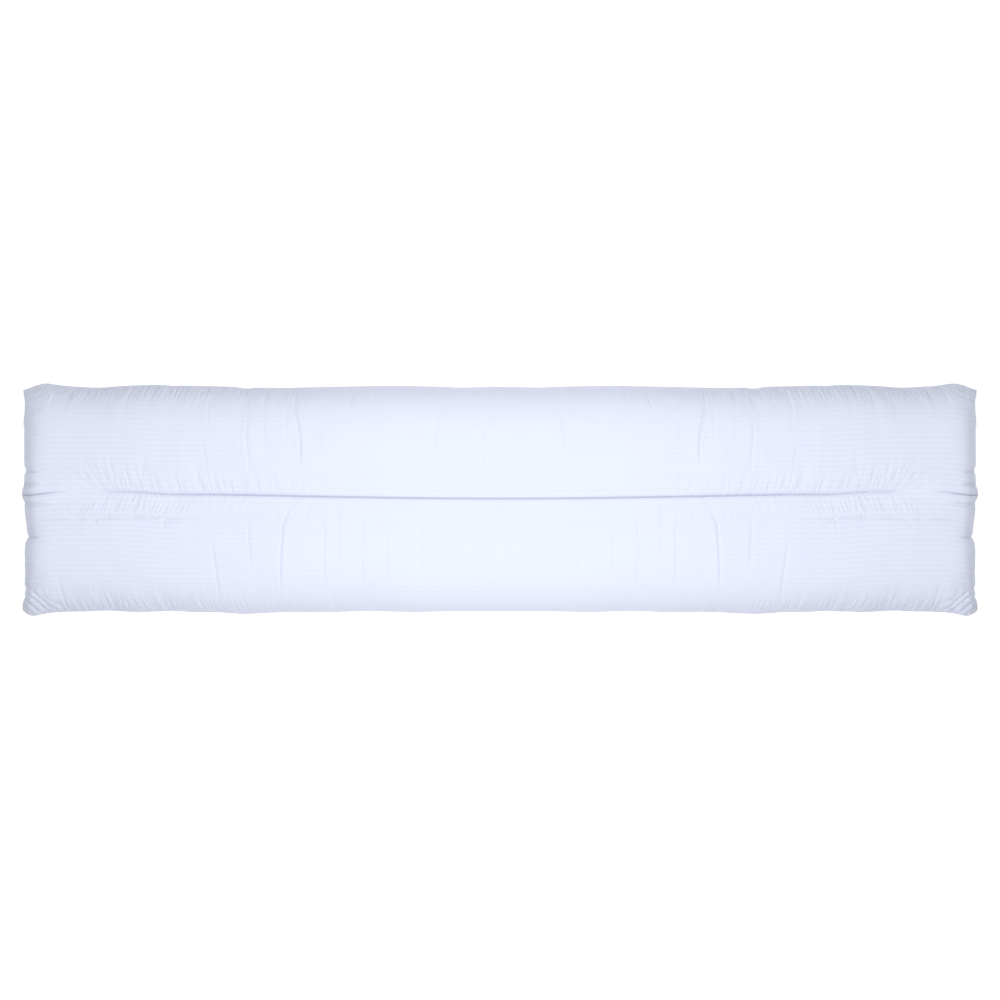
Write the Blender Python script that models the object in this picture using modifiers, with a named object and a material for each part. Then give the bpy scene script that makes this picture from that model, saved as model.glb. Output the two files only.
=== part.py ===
"""A long body pillow lying on its back: one filled solid, as full at its ends as in its middle.

A seam runs the whole length of the face and is drawn down into the filling. The outer edge is a
plain knife-edge seam, gathered at both ends, with a small ear of bunched cloth where the centre seam
meets it and at the near corners. X runs along the pillow, Y across it, Z up from the surface that it
lies on. Places along the pillow are measured from its middle, and places across it from its centre
line, so the tables describe one half and a mirror makes the other.
"""

import math

import bmesh
import bpy

# Driving dimensions, in metres.
LENGTH = 1.777  # over the end seams, without the ears
WIDTH = 0.421  # over the side seams
THICKNESS = 0.156  # at the middle of the pillow, before the centre seam draws it down
EDGE_HEIGHT = 0.070  # of the outer seam above the surface

HALF_LENGTH = LENGTH / 2
HALF_WIDTH = WIDTH / 2
CROWN = THICKNESS - EDGE_HEIGHT  # the face above the outer seam

# How the cloth rounds off. The panels meet at the seam at an angle, which makes its knife edge.
END_ROUND = 0.058  # how far in from the end the face reaches its full height
END_CROWN = 0.90  # height of the face near the ends, as a share of the middle
FACE_SQUARE = 4.6  # how square the rounding of the face is; 2 is an ellipse
BACK_SQUARE = 2.2
SEAM_SHARE = 0.98  # the share of that rounding that is used; less makes a sharper edge
BACK_END_ROUND = 0.088  # how far in from the end the back lies flat on the surface
BACK_SIDE_ROUND = 0.086
BACK_LIFT = 0.10  # how steeply the back leaves the surface, as a share of its rise to the seam
FLAT_SHARE = 1 - BACK_SIDE_ROUND / HALF_WIDTH  # how much of the back's width lies flat

# The mesh of one half.
ROWS = 66  # along the half
COLUMNS = 13  # on each side of the centre seam
FLAT_COLUMNS = 6  # of them, on the flat patch of the back

# The centre seam: how far it lies from the centre line, how deep its soft valley is and how deep
# its sharp crease is. It is nearly flush where the cloth is drawn tight, a hand's width from the end.
CENTRE_SEAM = (
    # place, off the line, valley, crease
    (0.000, 0.002, 0.0070, 0.0065),
    (0.300, 0.004, 0.0070, 0.0065),
    (0.560, 0.009, 0.0068, 0.0060),
    (0.690, 0.013, 0.0050, 0.0035),
    (0.740, 0.014, 0.0030, 0.0008),
    (0.800, 0.014, 0.0024, 0.0008),
    (0.845, 0.011, 0.0038, 0.0050),
    (0.888, 0.007, 0.0034, 0.0060),
)
VALLEY_REACH = 0.058
CREASE_REACH = 0.0055

# Where the side seams swell out and draw in, on the far (+Y) side and on the near (-Y) side.
FAR_SWELLS = (
    # place, reach, amount
    (0.846, 0.026, 0.0062),
    (0.752, 0.034, -0.0026),
    (0.635, 0.070, 0.0026),
    (0.410, 0.080, -0.0028),
    (0.200, 0.060, 0.0009),
    (0.074, 0.030, -0.0012),
)
NEAR_SWELLS = (
    # place, reach, amount
    (0.873, 0.022, 0.0062),
    (0.735, 0.040, -0.0034),
    (0.612, 0.030, -0.0028),
    (0.478, 0.042, 0.0028),
    (0.245, 0.050, -0.0028),
    (0.050, 0.090, -0.0024),
)
# How far each side draws in at the very end, and over what length.
FAR_CORNER = (0.0105, 0.050)
NEAR_CORNER = (0.0075, 0.013)

# The end seam is gathered: each furrow runs in from the end and notches its outline. A negative
# depth stands out instead, as the ears do.
END_GATHERS = (
    # across, half-width, depth, reach inwards
    (0.170, 0.010, 0.0016, 0.045),
    (0.125, 0.010, 0.0020, 0.050),
    (0.090, 0.009, 0.0016, 0.045),
    (0.054, 0.010, 0.0036, 0.060),
    (0.028, 0.006, 0.0018, 0.050),
    (0.010, 0.012, -0.0080, 0.012),
    (-0.011, 0.006, 0.0038, 0.060),
    (-0.036, 0.008, 0.0016, 0.050),
    (-0.050, 0.115, 0.0020, 0.030),
    (-0.062, 0.019, 0.0066, 0.055),
    (-0.071, 0.007, 0.0022, 0.050),
    (-0.110, 0.010, 0.0016, 0.045),
    (-0.140, 0.009, 0.0016, 0.040),
    (-0.170, 0.010, 0.0034, 0.040),
    (-0.196, 0.012, -0.0036, 0.010),
)
FURROW_DEPTH = 1.3  # how deep a furrow is in the filled face, for its notch in the outline

# Long creases across the two halves of the face, where the gathered seams draw the cloth up.
# Each leans as it runs, from beside the centre seam (share 0) towards the side seam (share 1).
CROSS_CREASES = (
    # side, place at the seam, place at the side, from share, to share, depth
    (1, 0.366, 0.380, 0.08, 0.98, 0.0036),
    (1, 0.110, 0.140, 0.30, 0.95, 0.0022),
    (1, 0.240, 0.245, 0.55, 0.98, 0.0018),
    (1, 0.468, 0.466, 0.06, 0.95, 0.0018),
    (1, 0.560, 0.535, 0.05, 0.60, 0.0018),
    (-1, 0.384, 0.402, 0.04, 0.98, 0.0036),
    (-1, 0.324, 0.332, 0.04, 0.85, 0.0022),
    (-1, 0.462, 0.466, 0.08, 0.70, 0.0020),
    (-1, 0.545, 0.512, 0.25, 0.98, 0.0026),
    (-1, 0.624, 0.640, 0.04, 0.50, 0.0022),
    (-1, 0.252, 0.256, 0.10, 0.90, 0.0018),
    (-1, 0.143, 0.143, 0.10, 0.85, 0.0018),
)
CROSS_CREASE_REACH = 0.010

COVER_COLOUR = (0.80, 0.84, 0.95, 1.0)  # white cloth with a cool tint
COVER_ROUGHNESS = 0.85


def bump(distance, reach):
    """A soft bump of height 1, which fades out over the reach."""
    return math.exp(-((distance / reach) ** 2))


def blend(start, end, share):
    """A smooth way from start to end as share goes from 0 to 1."""
    share = min(max(share, 0.0), 1.0)
    return start + (end - start) * share * share * (3 - 2 * share)


def read_table(rows, column, place):
    """A column of a table whose first column is the place along the pillow."""
    for before, after in zip(rows, rows[1:]):
        if place <= after[0]:
            share = (place - before[0]) / (after[0] - before[0])
            return blend(before[column], after[column], share)
    return rows[-1][column]


def crowded(count, span, crowd):
    """Distances from 0 to span, one more than count, closest together where crowd is greatest."""
    fine = 4000
    total = [0.0]
    for step in range(fine):
        total.append(total[-1] + crowd(span * (step + 0.5) / fine))
    found, step = [0.0], 0
    for number in range(1, count):
        while total[step + 1] < total[-1] * number / count:
            step += 1
        part = (total[-1] * number / count - total[step]) / (total[step + 1] - total[step])
        found.append(span * (step + part) / fine)
    return found + [span]


def row_crowd(place):
    """Many rows at the end and at the creases that cross the face."""
    creases = sum(bump(place - (row[1] + row[2]) / 2, 0.022) for row in CROSS_CREASES)
    return 1 + 3.5 * bump(HALF_LENGTH - place, 0.060) + 0.8 * creases


def column_crowd(share):
    """Many columns at the centre seam and at the side seam."""
    return 1 + 9 * bump(share, 0.06) + 4 * bump(1 - share, 0.15)


def edge_crowd(share):
    """Many columns of the back at the side seam."""
    return 1 + 3 * bump(1 - FLAT_SHARE - share, 0.12)


def side_outline(place, side):
    """How far the side seam is from the centre line."""
    swells, corner = (FAR_SWELLS, FAR_CORNER) if side > 0 else (NEAR_SWELLS, NEAR_CORNER)
    swell = sum(amount * bump(place - at, reach) for at, reach, amount in swells)
    near_end = max(0.0, 1 - (HALF_LENGTH - place) / corner[1])
    return HALF_WIDTH + swell - corner[0] * near_end**2


def end_gather(across, from_end):
    """How far the gathers of the end seam draw the cloth in."""
    return sum(
        depth * bump(across - at, half_width) * math.exp(-from_end / reach)
        for at, half_width, depth, reach in END_GATHERS
    )


def rounded(share, square):
    """The height of a rounded edge: 1 where share is 0, and 0 at the seam, where share is 1."""
    seam = (1 - SEAM_SHARE**square) ** (1 / square)
    share = SEAM_SHARE * min(max(share, 0.0), 1.0)
    return ((1 - share**square) ** (1 / square) - seam) / (1 - seam)


def meet(side, end):
    """The height at a corner, from the heights that its side and its end would have alone."""
    both = side * side + end * end - side * side * end * end
    return side * end / math.sqrt(both) if both > 0 else 0.0


def cross_crease(place, out, side):
    """How deep the creases across the face are; out is the share from centre seam to side."""
    depth = 0.0
    for at_side, seam_place, side_place, start, stop, deep in CROSS_CREASES:
        if at_side == side:
            line = seam_place + (side_place - seam_place) * out
            along = (out - (start + stop) / 2) / ((stop - start) / 2)
            depth += deep * max(0.0, 1 - along**4) * bump(place - line, CROSS_CREASE_REACH)
    return depth


def face_height(place, across, out, side):
    """The height of the upper panel."""
    from_end = HALF_LENGTH - place
    fill = meet(rounded(out, FACE_SQUARE), rounded(1 - from_end / END_ROUND, FACE_SQUARE))
    crown = CROWN * blend(END_CROWN, 1.0, from_end / (HALF_LENGTH * 0.8))
    beside = across - read_table(CENTRE_SEAM, 1, place)
    sunk = read_table(CENTRE_SEAM, 2, place) * bump(beside, VALLEY_REACH)
    sunk += read_table(CENTRE_SEAM, 3, place) * bump(beside, CREASE_REACH)
    sunk += cross_crease(place, out, side)
    sunk += FURROW_DEPTH * max(0.0, end_gather(across, from_end))
    return EDGE_HEIGHT + crown * fill - sunk * min(1.0, 1.5 * fill)


def back_fill(beyond):
    """1 on the flat patch of the back, and 0 at the seam, where the share beyond the patch is 1."""
    beyond = min(max(beyond, 0.0), 1.0)
    return rounded(beyond, BACK_SQUARE) * (1 - BACK_LIFT * beyond)


def back_point(place, out, side, face_across, flat_end):
    """A point of the lower panel, from how far across it would be on the face. The flat patch is a
    true rectangle, and from there the back rises and runs out to the same seam as the face."""
    beyond_side = max(0.0, (out - FLAT_SHARE) / (1 - FLAT_SHARE))
    beyond_end = max(0.0, (place - flat_end) / (HALF_LENGTH - flat_end))
    flat = HALF_WIDTH * FLAT_SHARE
    straight = side * (HALF_WIDTH * min(out, FLAT_SHARE) + (side_outline(place, side) - flat) * beyond_side)
    across = blend(straight, face_across, beyond_end)
    gather = end_gather(across, HALF_LENGTH - place)
    fill = meet(back_fill(beyond_side), back_fill(beyond_end))
    raised = FURROW_DEPTH * max(0.0, gather) * min(1.0, 1.5 * fill) * (1 - fill)
    drawn_in = gather * blend(0.0, 1.0, max(beyond_side, beyond_end))
    return place - drawn_in, across, EDGE_HEIGHT * (1 - fill) + raised


def sew_panel(mesh, rows, columns, on_face):
    """Adds one panel of the half: a grid whose points are moved to their place in the cover."""
    # The flat patch of the back ends at a row and a column of the grid, so that it has true corners.
    flat_end = min(rows, key=lambda place: abs(HALF_LENGTH - BACK_END_ROUND - place))
    edge_columns = crowded(COLUMNS - FLAT_COLUMNS, 1 - FLAT_SHARE, edge_crowd)
    back_columns = [FLAT_SHARE * column / FLAT_COLUMNS for column in range(FLAT_COLUMNS)]
    back_columns += [FLAT_SHARE + share for share in edge_columns]
    grid = bmesh.ops.create_grid(mesh, x_segments=ROWS, y_segments=2 * COLUMNS, size=1.0)
    placed = {}
    for vertex in grid["verts"]:
        row = round((vertex.co.x + 1) / 2 * ROWS)
        column = round(vertex.co.y * COLUMNS)
        side = 1 if column >= 0 else -1
        place, out = rows[row], columns[abs(column)]
        seam_line = read_table(CENTRE_SEAM, 1, place)
        across = seam_line * (1 - out) + side * side_outline(place, side) * out
        if on_face:
            gather = end_gather(across, HALF_LENGTH - place)
            vertex.co = (place - gather, across, face_height(place, across, out, side))
        else:
            vertex.co = back_point(place, back_columns[abs(column)], side, across, flat_end)
        placed[row, column] = vertex
    # At the corners the cloth folds along the line that runs in from the corner.
    for side in (-1, 1):
        fold = [placed[ROWS, side * COLUMNS], placed[ROWS - 1, side * (COLUMNS - 1)]]
        bmesh.ops.connect_verts(mesh, verts=fold)
    # The outer seam is an edge, and everything else is smooth.
    for edge in {edge for vertex in grid["verts"] for edge in vertex.link_edges}:
        at_middle = max(vertex.co.x for vertex in edge.verts) < 0.00002
        edge.smooth = not edge.is_boundary or at_middle
    faces = list({face for vertex in grid["verts"] for face in vertex.link_faces})
    if not on_face:
        bmesh.ops.reverse_faces(mesh, faces=faces)
        flat = [face for face in faces if max(vertex.co.z for vertex in face.verts) < 1e-7]
        bmesh.ops.dissolve_faces(mesh, faces=flat, use_verts=False)


def cover_material():
    material = bpy.data.materials.new("cover")
    material.use_nodes = True
    shader = material.node_tree.nodes["Principled BSDF"]
    shader.inputs["Base Color"].default_value = COVER_COLOUR
    shader.inputs["Roughness"].default_value = COVER_ROUGHNESS
    shader.inputs["Metallic"].default_value = 0.0
    return material


def make_pillow(collection):
    """The filled cover: two panels sewn together round the edge, and mirrored about the middle."""
    rows = crowded(ROWS, HALF_LENGTH, row_crowd)
    columns = crowded(COLUMNS, 1.0, column_crowd)
    half = bmesh.new()
    sew_panel(half, rows, columns, on_face=True)
    sew_panel(half, rows, columns, on_face=False)
    bmesh.ops.remove_doubles(half, verts=half.verts, dist=0.00002)
    for vertex in half.verts:
        if abs(vertex.co.x) < 0.00002:
            vertex.co.x = 0.0
    for face in half.faces:
        face.smooth = True
    mesh = bpy.data.meshes.new("pillow")
    half.to_mesh(mesh)
    half.free()
    mesh.materials.append(cover_material())
    pillow = bpy.data.objects.new("pillow", mesh)
    collection.objects.link(pillow)
    mirror = pillow.modifiers.new("other_half", "MIRROR")
    mirror.use_axis = (True, False, False)
    mirror.use_clip = True
    mirror.merge_threshold = 0.0001


def main():
    for thing in list(bpy.data.objects):
        bpy.data.objects.remove(thing)
    collection = bpy.data.collections.new("body_pillow")
    bpy.context.scene.collection.children.link(collection)
    make_pillow(collection)


main()
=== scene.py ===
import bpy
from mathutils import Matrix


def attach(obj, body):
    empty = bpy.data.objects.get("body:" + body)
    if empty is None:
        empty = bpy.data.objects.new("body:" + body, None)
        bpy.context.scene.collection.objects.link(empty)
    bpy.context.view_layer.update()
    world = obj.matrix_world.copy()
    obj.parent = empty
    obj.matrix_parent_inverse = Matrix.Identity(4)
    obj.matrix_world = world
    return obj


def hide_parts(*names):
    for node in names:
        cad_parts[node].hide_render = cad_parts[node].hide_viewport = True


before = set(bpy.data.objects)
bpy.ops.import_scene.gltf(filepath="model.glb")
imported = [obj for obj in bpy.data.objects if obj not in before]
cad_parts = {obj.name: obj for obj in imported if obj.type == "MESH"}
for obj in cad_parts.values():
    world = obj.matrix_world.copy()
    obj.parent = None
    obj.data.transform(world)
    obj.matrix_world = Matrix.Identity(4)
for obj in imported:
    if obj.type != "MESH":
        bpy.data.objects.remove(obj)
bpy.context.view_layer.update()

import math

import bpy
import numpy as np
from mathutils import Vector

# The pillow: the solid's named values, some of them refined to the photo. Metres, X along it, Y across
# it, Z up. A place is a distance from the middle of its length.
LENGTH = 1.777  # without its ears
WIDTH = 0.421  # without its swells
THICKNESS = 0.156  # at the middle, before the centre seam draws it down
EDGE_HEIGHT = 0.070  # of the outer seam
HALF_LENGTH = LENGTH / 2
HALF_WIDTH = WIDTH / 2
CROWN = THICKNESS - EDGE_HEIGHT
END_ROUND = 0.058  # how far from the end the face is at its full height
END_SOFTER = 0.90  # how much further the end rounds off beside the corners, as a share
END_CROWN = 0.90  # of the crown is left at the ends
CROWN_REACH = 0.8 * HALF_LENGTH  # how far from the end the crown is whole
FACE_SQUARE = 4.6  # how square the rounding of the face is; 2 is an ellipse
BACK_SQUARE = 2.2
SEAM_SHARE = 0.98  # of the rounding is used, so that it doesn't reach the seam upright
BACK_END_ROUND = 0.088  # how far from the end the back leaves the floor
BACK_SIDE_ROUND = 0.086
BACK_LIFT = 0.10  # how steeply the back leaves the floor, as a share of its mean slope to the seam
FLAT_SHARE = 1 - BACK_SIDE_ROUND / HALF_WIDTH  # how much of the back's width lies flat

# The mesh of one half. The end of the face has twice the columns of its body.
BODY_ROWS = 390
END_ROWS = 60
END_ZONE = 0.052
FACE_COLUMNS = 44  # of one side of the face
END_CLOTH = 0.030  # how much more cloth than length there is at the end, where the face turns down
BACK_ROWS = 110
BACK_COLUMNS = 12  # of one side of the back
# How much closer rows and columns are at a seam, and their reach. Columns count in shares of the half-width.
COLUMNS_ON_SEAM = (6, 0.020)
COLUMNS_BESIDE_SEAM = (0.8, 0.16)
COLUMNS_AT_SIDE = (4, 0.03)
COLUMNS_AT_NOTCH = (3.0, 0.018)
ROWS_NEAR_END = (1, 0.03)
ROWS_AT_END = (8, 0.006)
ROWS_GATHERED = (0.27, 0.36)  # the places between which the rows get closer, because the cloth is gathered
BACK_ROWS_AT_END = (8, 0.07)
BACK_COLUMNS_AT_SIDE = (9, 0.25)
NOTCH_SHIFT = 0.007  # added to a notch's distance from the centre line before it is made a share
STEEPEST = 4  # slope of the face that the columns follow
APRON = (0.016, 0.0125, 0.0090, 0.0055, 0.0025, 0.0)  # rows of the back beside the end seam, from its inside

# The photo: 1.87 mm a pixel, with the middle of the pillow at this pixel. It is mirrored about it.
PIXEL = 0.00187
MIDDLE = (499.5, 499.0)


def spot(x, y):
    """A place on the left half of the photo, as the distance from the middle and the way across."""
    return (MIDDLE[0] - x) * PIXEL, (MIDDLE[1] - y) * PIXEL


# The centre seam from above.
SEAM_LINE = (
    # place, how far off the centre line
    (0.0, 0.0017),
    (0.0926, 0.0019),
    (0.2235, 0.0037),
    (0.336, 0.0056),
    (0.429, 0.0075),
    (0.541, 0.0094),
    (0.612, 0.0093),
    (0.640, 0.0112),
    (0.664, 0.0139),
    (0.697, 0.0147),
    (0.769, 0.0151),
    (0.811, 0.0150),
    (0.829, 0.0131),
    (0.844, 0.0112),
    (0.859, 0.0094),
    (0.874, 0.0077),
    (0.889, 0.0070),
)
# Its soft valley, the roll of cloth that turns into it and the sharp crease, by place.
SEAM_DEPTH = (
    # place, valley, roll, crease
    (0.000, 0.0070, 0.0010, 0.0052),
    (0.300, 0.0070, 0.0010, 0.0054),
    (0.480, 0.0068, 0.0010, 0.0052),
    (0.600, 0.0060, 0.0006, 0.0042),
    (0.680, 0.0050, 0.0003, 0.0030),
    (0.722, 0.0036, 0.0001, 0.0026),
    (0.746, 0.0026, 0.0000, 0.0001),
    (0.792, 0.0022, 0.0000, 0.0001),
    (0.812, 0.0024, 0.0002, 0.0014),
    (0.830, 0.0028, 0.0005, 0.0030),
    (0.850, 0.0032, 0.0008, 0.0046),
    (0.889, 0.0020, 0.0004, 0.0036),
)
DEEPEST = 0.0054
VALLEY_REACH = 0.058
ROLL_REACH = 0.011
CREASE_REACH = 0.0013

# The swells and dips of the far and near sides, seen from above.
FAR_SWELLS = (
    # place, reach, how far out
    (0.846, 0.026, 0.0062),
    (0.752, 0.034, -0.0026),
    (0.635, 0.070, 0.0026),
    (0.410, 0.080, -0.0028),
    (0.200, 0.060, 0.0009),
    (0.074, 0.030, -0.0012),
)
NEAR_SWELLS = (
    # place, reach, how far out
    (0.873, 0.022, 0.0062),
    (0.735, 0.040, -0.0034),
    (0.612, 0.030, -0.0028),
    (0.478, 0.042, 0.0028),
    (0.245, 0.050, -0.0028),
    (0.050, 0.090, -0.0024),
)
FAR_CORNER = (0.0078, 0.040)  # how far it is drawn in, and from how far from the end
NEAR_CORNER = (0.0075, 0.013)
# The cover stands this much further out than the solid at its far and near sides, with small dips.
FAR_LOOSE = 0.0013
NEAR_LOOSE = 0.0009
FAR_DIPS = (
    (0.840, 0.022, -0.0011),
    (0.609, 0.016, -0.0013),
    (0.474, 0.014, -0.0027),
    (0.050, 0.080, -0.0009),
)
NEAR_DIPS = (
    (0.800, 0.026, -0.0013),
    (0.652, 0.014, -0.0010),
    (0.530, 0.026, -0.0009),
    (0.380, 0.026, -0.0008),
)
SIDES = {
    1: (FAR_SWELLS + FAR_DIPS, FAR_CORNER, FAR_LOOSE),
    -1: (NEAR_SWELLS + NEAR_DIPS, NEAR_CORNER, NEAR_LOOSE),
}

# The soft gathers of the ends. The ears have a depth below 0.
END_GATHERS = (
    # across, half-width, depth, reach inwards
    (0.170, 0.010, 0.0016, 0.045),
    (0.125, 0.010, 0.0020, 0.050),
    (0.090, 0.009, 0.0016, 0.045),
    (0.054, 0.010, 0.0036, 0.060),
    (0.028, 0.006, 0.0010, 0.050),
    (0.010, 0.012, -0.0080, 0.010),
    (-0.011, 0.006, 0.0016, 0.060),
    (-0.036, 0.008, 0.0016, 0.050),
    (-0.050, 0.115, 0.0020, 0.030),
    (-0.062, 0.019, 0.0066, 0.055),
    (-0.071, 0.007, 0.0022, 0.050),
    (-0.110, 0.010, 0.0016, 0.045),
    (-0.140, 0.009, 0.0016, 0.040),
    (-0.170, 0.010, 0.0034, 0.040),
    (-0.196, 0.012, -0.0036, 0.010),
)
FURROW_DEPTH = 0.6  # of a furrow behind a gather, as a share of how far the gather draws in
FURROW_RISE = 1.5  # how fast a furrow gets its depth as the panel leaves the seam
# The gathered end seam seen from above: the line it follows, and its notches and bulges, all in
# pixels of the photo. A bulge has a depth below 0.
END_EDGE = 24.0
END_NOTCHES = (
    # how far down the photo, half-width, depth
    (390, 9, -1.4),
    (402, 4, 0.6),
    (422, 6, -0.9),
    (470, 3, 1.8),
    (493, 7, -3.0),
    (502, 2, 1.2),
    (530, 14, 2.2),
    (536, 3, 2.5),
    (570, 16, 0.7),
    (588, 2, 2.0),
    (596, 2, 1.2),
    (606, 7, -2.4),
)
DEEP_NOTCHES = {1: (470, 484), -1: (502, 536, 588)}  # how far down the photo they are, by side
OUTLINE_BLUR = 0.4  # how far outside the seam the photo's blurred edge seems to be, in pixels
NOTCH_REACH = 0.008
# How the outer seam wanders up and down: height, length and seed of a long and a short wave.
SEAM_WAVES = ((0.0026, 0.052, 8), (0.0010, 0.017, 9))
WAVES_FREE = 0.04  # how far from the middle of the length they are at their full height
WAVES_FROM = 20  # the y of the ripples that the centre line reads

# How the gathers lean out towards the end as they leave the centre seam and the side seams, by place.
LEAN = ((0.0, 0.0), (0.05, 0.0), (0.20, 0.25), (0.50, 0.42), (0.74, 0.62), (0.80, 0.62), (0.889, 0.0))
LEAN_REACH = 0.045
LEAN_EASE = 0.02
LEAN_FREE = 0.06  # how far from the end the lean is whole
# How strongly the cloth is gathered along the seams, by place.
GATHERED = (
    # place, beside the centre seam above it, below it, at the far side seam, at the near side seam
    (0.00, 0.08, 0.06, 0.35, 0.30),
    (0.20, 0.12, 0.15, 0.40, 0.30),
    (0.33, 0.45, 0.35, 0.60, 0.45),
    (0.42, 0.90, 0.45, 0.90, 0.60),
    (0.56, 1.00, 0.60, 1.00, 0.70),
    (0.64, 0.90, 0.60, 1.00, 0.80),
    (0.74, 0.95, 0.70, 1.00, 0.90),
    (0.78, 0.35, 0.30, 0.95, 0.95),
    (0.80, 0.20, 0.20, 0.90, 1.00),
    (0.86, 0.12, 0.12, 0.70, 1.00),
    (0.889, 0.10, 0.10, 0.60, 1.00),
)

# The gathers of the centre seam, from fine to long.
FOLDS = (
    # how far apart, how far they run, how high
    (0.0066, 0.040, 0.00110),
    (0.0120, 0.064, 0.00110),
    (0.0240, 0.130, 0.00060),
)

# The gathers of the outer seam.
EDGE_FOLDS = (
    # how far apart, how far they run, how high
    (0.0060, 0.060, 0.0010),
    (0.0100, 0.080, 0.0010),
    (0.0180, 0.100, 0.0006),
)
# The random ranges of one fold, as shares of what its table says.
FOLD_WIDE = (0.30, 0.50)
FOLD_BEGIN = (0.05, 0.35)
FOLD_LONG = (0.35, 1.0)
FOLD_TALL = (0.4, 1.0)
FOLD_APART = (0.6, 1.5)
FOLD_START = 0.006  # how far from its seam a fold is at its full height

# Creases and folds, one at a time as the photo shows them: places in the photo, depth in mm,
# half-width in mm, and how much the cloth beside it is lifted, as a share of the depth.
CREASES = (
    # across the upper half
    (((297.5, 389), (296, 410), (300, 425), (302, 440), (302, 468)), 1.7, 3.5, 0.5),
    (((250, 410), (249, 440), (251, 462), (250, 488)), 1.2, 4.5, 0.3),
    (((443, 405), (437, 425), (435, 456)), 1.4, 5.0, 0.3),
    (((484, 418), (483, 445), (483, 478)), 1.0, 4.5, 0.3),
    (((355, 393), (349, 409)), 1.5, 4.5, 0.4),
    (((376, 391), (372, 402)), 1.0, 4.0, 0.3),
    (((205, 440), (209, 462), (213, 488)), 0.9, 4.5, 0.3),
    (((150, 452), (146, 470), (143, 486)), 0.9, 4.5, 0.3),
    (((210, 398), (211, 432)), 0.5, 3.5, 0.4),
    (((243, 400), (243, 470)), 0.5, 3.5, 0.4),
    (((266, 395), (266, 455)), 0.5, 3.5, 0.4),
    (((288, 402), (287, 472)), 0.6, 3.5, 0.4),
    (((320, 396), (321, 462)), 0.5, 3.5, 0.4),
    # the short puckers above the place where the seam is tight
    (((86, 470), (97, 481)), 1.0, 2.6, 0.8),
    (((97, 464), (105, 475)), 1.0, 2.6, 0.8),
    (((104, 468), (113, 481)), 1.1, 2.6, 0.8),
    (((113, 461), (120, 479)), 0.8, 2.6, 0.7),
    (((128, 466), (134, 484)), 0.7, 2.8, 0.6),
    # across the lower half
    (((292.5, 505), (285, 523), (283, 547), (282, 577), (284, 594)), 1.6, 3.5, 0.5),
    (((214, 535), (217.5, 562), (222.5, 600)), 1.2, 4.0, 0.4),
    (((250, 513), (252, 550), (252.5, 569)), 1.2, 4.5, 0.3),
    (((167.5, 506), (167, 532)), 1.4, 5.0, 0.3),
    (((323, 505), (326, 530), (325, 589)), 1.2, 4.5, 0.3),
    (((341, 506), (340, 564)), 1.0, 4.5, 0.3),
    (((365, 506), (362, 550), (365, 592)), 1.1, 4.5, 0.3),
    (((388, 526), (388, 584)), 0.9, 4.5, 0.3),
    (((423, 513), (423, 584)), 1.0, 4.5, 0.3),
    (((436, 533), (436, 555)), 0.8, 4.0, 0.3),
    (((452, 535), (452, 575)), 0.9, 4.5, 0.3),
    # the rays from the place where the centre seam is drawn tight
    (((101, 489), (86, 478), (66, 465)), 1.3, 4.5, 0.5),
    (((104, 487), (96, 470), (84, 452)), 1.0, 4.5, 0.4),
    (((101, 497), (86, 510), (70, 527)), 0.3, 4.5, 0.5),
    (((104, 499), (97, 516), (90, 536)), 0.3, 4.5, 0.4),
    (((96, 496), (80, 500), (62, 508)), 0.8, 3.0, 0.8),
    # the long low fold beside the seam
    (((30, 520), (80, 518.5), (120, 517.5), (215, 517.5)), 2.8, 5.0, 0.8),
    # the folds of the gathered end
    (((16, 470), (32, 471), (42, 472)), 2.2, 2.0, 0.5),
    (((12, 484), (31, 484), (46, 483.5)), 3.4, 2.0, 0.5),
    (((14, 502.5), (33, 504), (62, 504)), 2.4, 2.2, 0.5),
    (((16, 536.5), (33, 536.5), (42, 536)), 2.4, 2.0, 0.5),
    (((14, 565), (31, 565.5), (41, 566)), 1.5, 2.2, 0.5),
    (((14, 588), (32, 585), (46, 583)), 1.9, 2.2, 0.5),
    (((19, 419), (34, 421), (48, 424)), 1.2, 2.6, 0.5),
    (((19, 440), (34, 441), (48, 443)), 1.0, 2.6, 0.5),
    # the ear at the near corner
    (((22, 594), (34, 604), (44, 614)), 2.2, 2.4, 0.9),
    (((20, 600), (29, 607), (36, 615)), 1.4, 2.0, 0.9),
    (((25, 589), (39, 599), (51, 612)), 1.6, 2.0, 0.9),
    (((32, 588), (46, 599), (60, 612)), 1.6, 2.6, 0.7),
    (((42, 592), (60, 602), (78, 612)), 1.5, 3.5, 0.5),
    # the far corner
    (((24, 399), (38, 398), (52, 388)), 1.0, 3.0, 0.6),
    (((27, 408), (44, 408), (64, 398)), 0.8, 3.5, 0.5),
    (((30, 391), (40, 391), (52, 386)), 1.2, 2.6, 0.5),
)
SOFT_SHARE = 0.55  # of a crease's depth is in its soft trough; its sharp line is in the material
NO_CREASE = 0.03  # the distance that stands for no crease near
SHARP_WITHIN = (0.006, 0.009)  # the sharp line fades between these distances
APART_BY = (0.001, 0.006)  # from not sharp to sharp, by how much further off the next line is
LIFT_AT = 2.1  # how far from a crease the cloth is lifted most, in half-widths
LIFT_WIDE = 1.5
LIFT_UNEVEN = 0.4  # how much more it is lifted on one side than on average
STROKE_FADE = 0.25  # of a line's length is used to fade it at each end
STROKE_PAST = 0.02  # of its length lies past the end, so that it doesn't fade to nothing

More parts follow.
